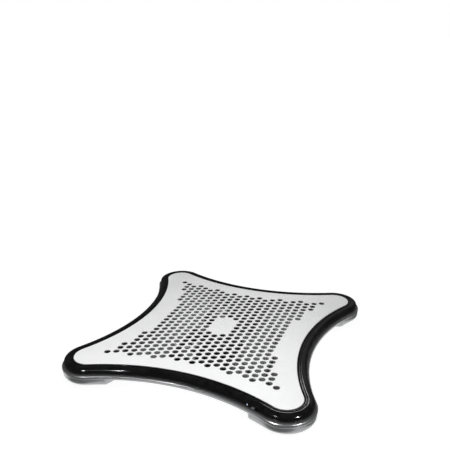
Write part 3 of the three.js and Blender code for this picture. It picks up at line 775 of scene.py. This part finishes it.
def makeScratchGroup():
    group, given, result = newGroup("hairScratches", [
        ("Length", 'NodeSocketFloat', 40), ("Spacing", 'NodeSocketFloat', 900),
        ("Amount", 'NodeSocketFloat', 0.5)], [("Mask", 'NodeSocketFloat')])
    place = group.nodes.new('ShaderNodeTexCoord')
    total = None
    for turn, share in maskSizes["scratchWays"]:
        mapping = group.nodes.new('ShaderNodeMapping')
        mapping.inputs['Rotation'].default_value = (0, 0, turn)
        mapping.inputs['Location'].default_value = (turn, share, 0)
        group.links.new(place.outputs['Object'], mapping.inputs['Vector'])
        parts = group.nodes.new('ShaderNodeCombineXYZ')
        for title, source in (('X', 'Length'), ('Y', 'Spacing'), ('Z', 'Length')):
            group.links.new(mathNode(group, 'MULTIPLY', given.outputs[source], share), parts.inputs[title])
        product = group.nodes.new('ShaderNodeVectorMath')
        product.operation = 'MULTIPLY'
        group.links.new(mapping.outputs['Vector'], product.inputs[0])
        group.links.new(parts.outputs['Vector'], product.inputs[1])
        noise = group.nodes.new('ShaderNodeTexNoise')
        noise.inputs['Scale'].default_value = 1
        noise.inputs['Detail'].default_value = 1
        group.links.new(product.outputs['Vector'], noise.inputs['Vector'])
        line = spread(group, noise.outputs['Fac'], maskSizes["scratchFrom"], maskSizes["scratchTo"])
        total = line if total is None else mathNode(group, 'MAXIMUM', total, line)
    group.links.new(mathNode(group, 'MULTIPLY', total, given.outputs['Amount']), result.inputs['Mask'])
    return group


def makeDustGroup():
    group, given, result = newGroup("dustOnTop", [
        ("Scale", 'NodeSocketFloat', 120),
        ("Amount", 'NodeSocketFloat', 0.2)], [("Mask", 'NodeSocketFloat')])
    shape = group.nodes.new('ShaderNodeNewGeometry')
    split = group.nodes.new('ShaderNodeSeparateXYZ')
    group.links.new(shape.outputs['Normal'], split.inputs['Vector'])
    upward = spread(group, split.outputs['Z'], maskSizes["dustSlope"], 1.0)
    place = group.nodes.new('ShaderNodeTexCoord')
    noise = group.nodes.new('ShaderNodeTexNoise')
    noise.inputs['Detail'].default_value = maskSizes["dustDetail"]
    group.links.new(place.outputs['Object'], noise.inputs['Vector'])
    group.links.new(given.outputs['Scale'], noise.inputs['Scale'])
    cloud = spread(group, noise.outputs['Fac'], maskSizes["dustFrom"], maskSizes["dustTo"])
    lying = mathNode(group, 'MULTIPLY', cloud, upward)
    group.links.new(mathNode(group, 'MULTIPLY', lying, given.outputs['Amount']), result.inputs['Mask'])
    return group


# Painted light: this mask picks the tray's upward-facing inner floor, which gets a paler colour standing in
# for the light that falls on it through the plate's holes.
def makePaintedLightFloorGroup():
    group, given, result = newGroup(
        "paintedLightOnTrayFloor", [("Depth", 'NodeSocketFloat', maskSizes["paintedLightDepth"])], [("Mask", 'NodeSocketFloat')])
    place = group.nodes.new('ShaderNodeTexCoord')
    height = group.nodes.new('ShaderNodeSeparateXYZ')
    group.links.new(place.outputs['Object'], height.inputs['Vector'])
    below = mathNode(group, 'LESS_THAN', height.outputs['Z'], given.outputs['Depth'])
    shape = group.nodes.new('ShaderNodeNewGeometry')
    facing = group.nodes.new('ShaderNodeSeparateXYZ')
    group.links.new(shape.outputs['Normal'], facing.inputs['Vector'])
    upward = spread(group, facing.outputs['Z'], maskSizes["paintedLightSlopeFrom"], maskSizes["paintedLightSlopeTo"])
    group.links.new(mathNode(group, 'MULTIPLY', below, upward), result.inputs['Mask'])
    return group


grainGroup = makeGrainGroup()
scratchGroup = makeScratchGroup()
dustGroup = makeDustGroup()
paintedLightFloorGroup = makePaintedLightFloorGroup()
print("shader groups built")


# Finishes: colours, roughness and grain.

finishes = {
    "satinPlate": {"dark": (0.76, 0.762, 0.765), "light": (0.84, 0.842, 0.845), "metal": 0.55,
                   "rough": (0.3, 0.42), "grain": (1, 30, 1), "scale": 260, "bump": 0.06, "scratch": 0.22,
                   "dust": 0.03},
    "glossRim": {"dark": (0.003, 0.003, 0.0034), "light": (0.006, 0.006, 0.0066), "rough": (0.07, 0.13),
                 "scale": 420, "bump": 0.012, "scratch": 0.12, "dust": 0.05, "coat": 0.3},
    # The tray's inside colour is painted light on its inner floor under the plate's holes.
    "silverTray": {"dark": (0.24, 0.242, 0.246), "light": (0.3, 0.302, 0.307), "metal": 0.6,
                   "rough": (0.26, 0.36), "scale": 2600, "bump": 0.02, "scratch": 0.1, "dust": 0.05,
                   "coat": 0.3, "inside": (0.62, 0.625, 0.63)},
    "footRubber": {"dark": (0.012, 0.012, 0.012), "light": (0.03, 0.03, 0.031), "rough": (0.7, 0.9),
                   "scale": 1800, "bump": 0.25, "scratch": 0.05, "dust": 0.2},
    "fanPlastic": {"dark": (0.008, 0.008, 0.009), "light": (0.018, 0.018, 0.02), "rough": (0.38, 0.5),
                   "scale": 2400, "bump": 0.12, "scratch": 0.06, "dust": 0.12},
    "zincSteel": {"dark": (0.42, 0.425, 0.42), "light": (0.62, 0.63, 0.62), "metal": 1,
                  "rough": (0.22, 0.38), "scale": 900, "bump": 0.05, "scratch": 0.3},
    "socketSteel": {"dark": (0.5, 0.505, 0.51), "light": (0.7, 0.7, 0.71), "metal": 1,
                    "rough": (0.14, 0.26), "grain": (1, 18, 18), "scale": 500, "bump": 0.04,
                    "scratch": 0.35},
    "sinteredBrass": {"dark": (0.42, 0.3, 0.12), "light": (0.66, 0.5, 0.24), "metal": 1,
                      "rough": (0.34, 0.52), "scale": 3200, "bump": 0.12, "scratch": 0.1},
    "windings": {"dark": (0.2, 0.07, 0.025), "light": (0.52, 0.26, 0.12), "metal": 0.7,
                 "rough": (0.24, 0.44), "grain": (1, 1, 14), "scale": 320, "bump": 0.4, "scratch": 0},
    "ferrite": {"dark": (0.02, 0.02, 0.021), "light": (0.05, 0.05, 0.052), "metal": 0.2,
                "rough": (0.55, 0.75), "scale": 2600, "bump": 0.15, "scratch": 0.1},
    "circuitGreen": {"dark": (0.008, 0.075, 0.03), "light": (0.015, 0.13, 0.05), "rough": (0.28, 0.4),
                     "grain": (1, 6, 1), "scale": 160, "bump": 0.1, "scratch": 0.05, "dust": 0.05},
    "blackMoulding": {"dark": (0.01, 0.01, 0.011), "light": (0.022, 0.022, 0.024), "rough": (0.35, 0.5),
                      "scale": 2600, "bump": 0.08, "scratch": 0.05},
    "nylon": {"dark": (0.6, 0.55, 0.42), "light": (0.74, 0.7, 0.58), "rough": (0.38, 0.5), "scale": 1500,
              "bump": 0.06, "scratch": 0.05, "dust": 0.05},
    "thumbGrey": {"dark": (0.17, 0.172, 0.176), "light": (0.23, 0.233, 0.238), "rough": (0.3, 0.42),
                  "scale": 2600, "bump": 0.06, "scratch": 0.1},
    "lampLens": {"dark": (0.6, 0.68, 0.8), "light": (0.7, 0.78, 0.9), "rough": (0.08, 0.16), "scale": 1400,
                 "bump": 0.03, "scratch": 0.05, "glow": 0.5},
    "leadSleeve": {"dark": (0.018, 0.018, 0.019), "light": (0.032, 0.032, 0.034), "rough": (0.35, 0.5),
                   "scale": 1200, "bump": 0.05, "scratch": 0.05, "dust": 0.08},
}
plainFinish = {"metal": 0, "grain": (1, 1, 1), "dust": 0}
commonFinish = {"grainDetail": 4, "cloudScale": 18, "cloudDetail": 2, "cloudLow": 0.3, "cloudHigh": 0.7,
                "dustGrey": 0.5, "cloudShare": 0.5, "scratchWear": 0.3, "scratchDepth": -0.6,
                "bumpDistance": 0.0002, "coatRough": 0.06, "glowDim": (0.6, 0.75, 1),
                "glowBright": (0.75, 0.86, 1)}


def makeFinish(name):
    values, common = {**plainFinish, **finishes[name]}, commonFinish
    material = bpy.data.materials.new(name)
    material.use_nodes = True
    tree = material.node_tree
    shader = tree.nodes['Principled BSDF']

    def groupNode(group, **given):
        node = tree.nodes.new('ShaderNodeGroup')
        node.node_tree = group
        for title, value in given.items():
            node.inputs[title].default_value = value
        return node.outputs['Mask']

    def mixColours(share, first, second):
        node = tree.nodes.new('ShaderNodeMix')
        node.data_type = 'RGBA'
        tree.links.new(share, node.inputs['Factor'])
        for title, colour in (('A', first), ('B', second)):
            socketIn = [entry for entry in node.inputs if entry.name == title and entry.type == 'RGBA'][0]
            if hasattr(colour, 'default_value'):
                tree.links.new(colour, socketIn)
            else:
                socketIn.default_value = (*colour, 1)
        return [entry for entry in node.outputs if entry.type == 'RGBA'][0]

    grain = groupNode(grainGroup, Stretch=values["grain"], Scale=values["scale"],
                      Detail=common["grainDetail"])
    cloud = groupNode(grainGroup, Scale=common["cloudScale"], Detail=common["cloudDetail"],
                      Low=common["cloudLow"], High=common["cloudHigh"])
    scratch = groupNode(scratchGroup, Amount=values["scratch"])
    dust = groupNode(dustGroup, Amount=values["dust"])

    colour = mixColours(grain, values["dark"], values["light"])
    # Painted light: the paler inner floor of the tray, lit as if by light through the holes.
    if "inside" in values:
        colour = mixColours(groupNode(paintedLightFloorGroup), colour, values["inside"])
    dusty = [0.5 * (part + common["dustGrey"]) for part in values["light"]]
    colour = mixColours(dust, colour, dusty)
    tree.links.new(colour, shader.inputs['Base Color'])

    rough = tree.nodes.new('ShaderNodeMapRange')
    rough.inputs['To Min'].default_value, rough.inputs['To Max'].default_value = values["rough"]
    share = common["cloudShare"]
    blend = mathNode(tree, 'MULTIPLY_ADD', cloud, share, mathNode(tree, 'MULTIPLY', grain, 1 - share))
    tree.links.new(blend, rough.inputs['Value'])
    worn = mathNode(tree, 'MULTIPLY_ADD', scratch, common["scratchWear"], rough.outputs['Result'])
    worn.node.use_clamp = True
    tree.links.new(worn, shader.inputs['Roughness'])

    height = mathNode(tree, 'MULTIPLY_ADD', scratch, common["scratchDepth"], grain)
    bump = tree.nodes.new('ShaderNodeBump')
    bump.inputs['Strength'].default_value = values["bump"]
    bump.inputs['Distance'].default_value = common["bumpDistance"]
    tree.links.new(height, bump.inputs['Height'])
    tree.links.new(bump.outputs['Normal'], shader.inputs['Normal'])

    shader.inputs['Metallic'].default_value = values["metal"]
    if "coat" in values:
        shader.inputs['Coat Weight'].default_value = values["coat"]
        shader.inputs['Coat Roughness'].default_value = common["coatRough"]
    if "glow" in values:
        glow = mixColours(cloud, common["glowDim"], common["glowBright"])
        tree.links.new(glow, shader.inputs['Emission Color'])
        shader.inputs['Emission Strength'].default_value = values["glow"]
    return material


materials = {name: makeFinish(name) for name in finishes}


# Each piece's finish, slot, body and the solids it stands for.

def install(piece, finish, slot, body, *stoodFor):
    piece.data.materials.clear()
    piece.data.materials.append(materials[finish])
    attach(piece, body)
    if stoodFor:
        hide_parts(*stoodFor)


install(plate, "satinPlate", "plate", "housing", "top_plate")
install(rim, "glossRim", "rim", "housing", "rim_frame")
install(shell, "silverTray", "shell", "housing", "bottom_shell")
for corner, piece in footPads.items():
    install(piece, "footRubber", "foot_rubber", "housing", "foot_pad_" + corner)
install(thumb, "thumbGrey", "switch_cap", "switch", "speed_switch_thumb")
install(lamp, "lampLens", "lamp", "housing", "status_lamp")
install(socket, "socketSteel", "steel", "housing", "power_socket_shell")
for side, piece in zip(("left", "right"), fanFrames):
    install(piece, "fanPlastic", "fan_plastic", "housing", "fan_frame_" + side)
for side, piece in zip(("left", "right"), rotors):
    install(piece, "fanPlastic", "fan_plastic", "fan_" + side, "fan_rotor_" + side)
for piece in fanScrews:
    install(piece, "zincSteel", "steel", "housing", piece.name.replace("grille", "fan"))

keptFinishes = {"case_screw": "zincSteel", "board_screw": "zincSteel", "fan_shaft": "zincSteel",
                "fan_bearing": "sinteredBrass", "fan_stator": "windings", "fan_magnet": "ferrite",
                "fan_circuit": "circuitGreen", "control_board": "circuitGreen",
                "socket_board": "circuitGreen", "speed_switch_body": "blackMoulding",
                "power_socket_tongue": "blackMoulding", "fan_lead": "leadSleeve",
                "power_lead": "leadSleeve", "power_header": "nylon", "power_plug": "nylon",
                "fan_left_header": "nylon", "fan_right_header": "nylon", "fan_left_plug": "nylon",
                "fan_right_plug": "nylon"}
for name, node in nodes.items():
    finish = [keptFinishes[start] for start in keptFinishes if name.startswith(start)]
    if finish and not node.hide_render:
        node.data.materials.clear()
        node.data.materials.append(materials[finish[0]])
print("pieces installed")


# Floor, lights and camera. Places and sizes are in metres, the lens and sensor in millimetres.

stageSizes = {"floor": 60, "floorZ": -0.0003, "floorRough": 0.9, "lampBlend": 0.6, "sensor": 36,
              "clipStart": 0.01, "viewTransform": 'Standard', "floorGrey": 0.6, "floorGlow": 0.74,
              "paintedShadowFrom": 0.085, "paintedShadowTo": 0.115, "sky": 1.0, "skyForGloss": 0.05, "skyForShade": 0.5}
lightSizes = {
    "sheenPanel": {"at": (0.75, 0.46, 1.02), "towards": (0, 0, 0), "wide": 1.1, "tall": 0.8, "power": 4.5},
    "overPanel": {"at": (-0.45, 0.1, 1.2), "towards": (0, 0, 0), "wide": 1.6, "tall": 1.6, "power": 17},
    "lipLamp": {"at": (1.06, 0.2, 0.88), "towards": (-0.135, -0.13, 0.022), "radius": 0.12, "power": 4.4,
                "cone": 3.6},
    "sidePanel": {"at": (1.3, -0.05, 0.8), "towards": (-0.02, -0.11, 0.022), "wide": 0.6, "tall": 0.6,
                  "power": 0.12},
    "ledgePanel": {"at": (1.12, -0.51, 0.12), "towards": (0, -0.14, 0.015), "wide": 0.5, "tall": 0.16,
                   "power": 0.35},
    "glowPanel": {"at": (0, 0, 0.0002), "towards": (0, 0, 1), "wide": 0.312, "tall": 0.312, "power": 0.4},
    "leftLamp": {"at": (-0.69, 0.14, 0.39), "towards": (-0.135, 0.13, 0.015), "radius": 0.055, "power": 26,
                 "cone": 7},
    "frontLamp": {"at": (-0.69, 0.14, 0.39), "towards": (-0.145, -0.12, 0.015), "radius": 0.05, "power": 34,
                  "cone": 11},
    "rightLamp": {"at": (-0.42, -0.675, 0.345), "towards": (-0.13, -0.135, 0.015), "radius": 0.06,
                  "power": 44, "cone": 8},
    "shoulderLamp": {"at": (-0.682, 0.238, 0.39), "towards": (-0.126, 0.013, 0.012), "radius": 0.045,
                     "power": 22, "cone": 5},
}


def makeFloor():
    deselectAll()
    bpy.ops.mesh.primitive_plane_add(size=stageSizes["floor"], location=(0, 0, stageSizes["floorZ"]))
    floor = named("floor")
    material = bpy.data.materials.new("paleFloor")
    material.use_nodes = True
    shader = material.node_tree.nodes['Principled BSDF']
    grey = stageSizes["floorGrey"]
    shader.inputs['Base Color'].default_value = (grey, grey, grey, 1)
    shader.inputs['Roughness'].default_value = stageSizes["floorRough"]
    shader.inputs['Specular IOR Level'].default_value = 0
    shader.inputs['Emission Color'].default_value = (1, 1, 1, 1)
    tree = material.node_tree
    # Painted shadow: the floor's glow is nothing near the middle and grows to full near the pad's edge, so
    # the floor under the pad, seen through the grilles and holes, stays dark.
    place = tree.nodes.new('ShaderNodeTexCoord')
    away = tree.nodes.new('ShaderNodeVectorMath')
    away.operation = 'LENGTH'
    tree.links.new(place.outputs['Object'], away.inputs[0])
    glow = tree.nodes.new('ShaderNodeMapRange')
    for title, value in (("From Min", stageSizes["paintedShadowFrom"]), ("From Max", stageSizes["paintedShadowTo"]),
                         ("To Min", 0), ("To Max", stageSizes["floorGlow"])):
        glow.inputs[title].default_value = value
    tree.links.new(away.outputs['Value'], glow.inputs['Value'])
    tree.links.new(glow.outputs['Result'], shader.inputs['Emission Strength'])
    # Seen from below, the floor lets the underside show.
    side = tree.nodes.new('ShaderNodeNewGeometry')
    clear = tree.nodes.new('ShaderNodeBsdfTransparent')
    mix = tree.nodes.new('ShaderNodeMixShader')
    tree.links.new(side.outputs['Backfacing'], mix.inputs[0])
    tree.links.new(shader.outputs[0], mix.inputs[1])
    tree.links.new(clear.outputs[0], mix.inputs[2])
    tree.links.new(mix.outputs[0], tree.nodes['Material Output'].inputs['Surface'])
    floor.data.materials.append(material)
    floor.visible_glossy = False


def makeSky():
    world = bpy.data.worlds.new("studio")
    bpy.context.scene.world = world
    world.use_nodes = True
    tree = world.node_tree
    tree.nodes.clear()
    path = tree.nodes.new('ShaderNodeLightPath')
    out = tree.nodes.new('ShaderNodeOutputWorld')
    skies = []
    for share in ("skyForShade", "skyForGloss", "sky"):
        sky = tree.nodes.new('ShaderNodeBackground')
        sky.inputs['Color'].default_value = (1, 1, 1, 1)
        sky.inputs['Strength'].default_value = stageSizes[share]
        skies.append(sky.outputs['Background'])
    shown = skies[0]
    for ray, sky in (('Is Glossy Ray', skies[1]), ('Is Camera Ray', skies[2])):
        mix = tree.nodes.new('ShaderNodeMixShader')
        tree.links.new(path.outputs[ray], mix.inputs[0])
        tree.links.new(shown, mix.inputs[1])
        tree.links.new(sky, mix.inputs[2])
        shown = mix.outputs[0]
    tree.links.new(shown, out.inputs['Surface'])


def makeLight(name, *litPieces):
    size = lightSizes[name]
    deselectAll()
    bpy.ops.object.light_add(type='AREA' if "wide" in size else 'SPOT', location=size["at"])
    light = bpy.context.object
    light.name = name
    light.data.energy = size["power"]
    aim = Vector(size["towards"]) - Vector(size["at"])
    light.rotation_euler = aim.to_track_quat('-Z', 'Y').to_euler()
    if "wide" in size:
        light.data.shape = 'RECTANGLE'
        light.data.size, light.data.size_y = size["wide"], size["tall"]
    else:
        light.data.shadow_soft_size = size["radius"]
        light.data.spot_size = math.radians(size["cone"])
        light.data.spot_blend = stageSizes["lampBlend"]
        light.visible_diffuse = False
    light.visible_camera = False
    lit = bpy.data.collections.new("lit by " + name)
    for piece in litPieces:
        lit.objects.link(piece)
    light.light_linking.receiver_collection = lit


makeFloor()
makeSky()
for litPieces, names in (([plate], ["sheenPanel", "overPanel"]), ([rim], ["lipLamp", "sidePanel"]),
                         ([shell], ["ledgePanel", "glowPanel", "shoulderLamp"]),
                         ([rim, shell], ["leftLamp", "frontLamp", "rightLamp"])):
    for name in names:
        makeLight(name, *litPieces)

cameraSizes = {"place": (-0.6127, -0.2545, 0.3796), "ahead": (0.87903, 0.35742, -0.31554), "roll": -0.874,
               "lens": 45.932}
bpy.ops.object.camera_add(location=cameraSizes["place"])
camera = bpy.context.object
camera.name = "camera"
facing = Vector(cameraSizes["ahead"]).to_track_quat('-Z', 'Y').to_matrix().to_4x4()
camera.matrix_world = (Matrix.Translation(cameraSizes["place"]) @ facing
                       @ Matrix.Rotation(math.radians(cameraSizes["roll"]), 4, 'Z'))
camera.data.lens = cameraSizes["lens"]
camera.data.sensor_width = stageSizes["sensor"]
camera.data.clip_start = stageSizes["clipStart"]
bpy.context.scene.camera = camera
bpy.context.scene.view_settings.view_transform = stageSizes["viewTransform"]
print("stage set")
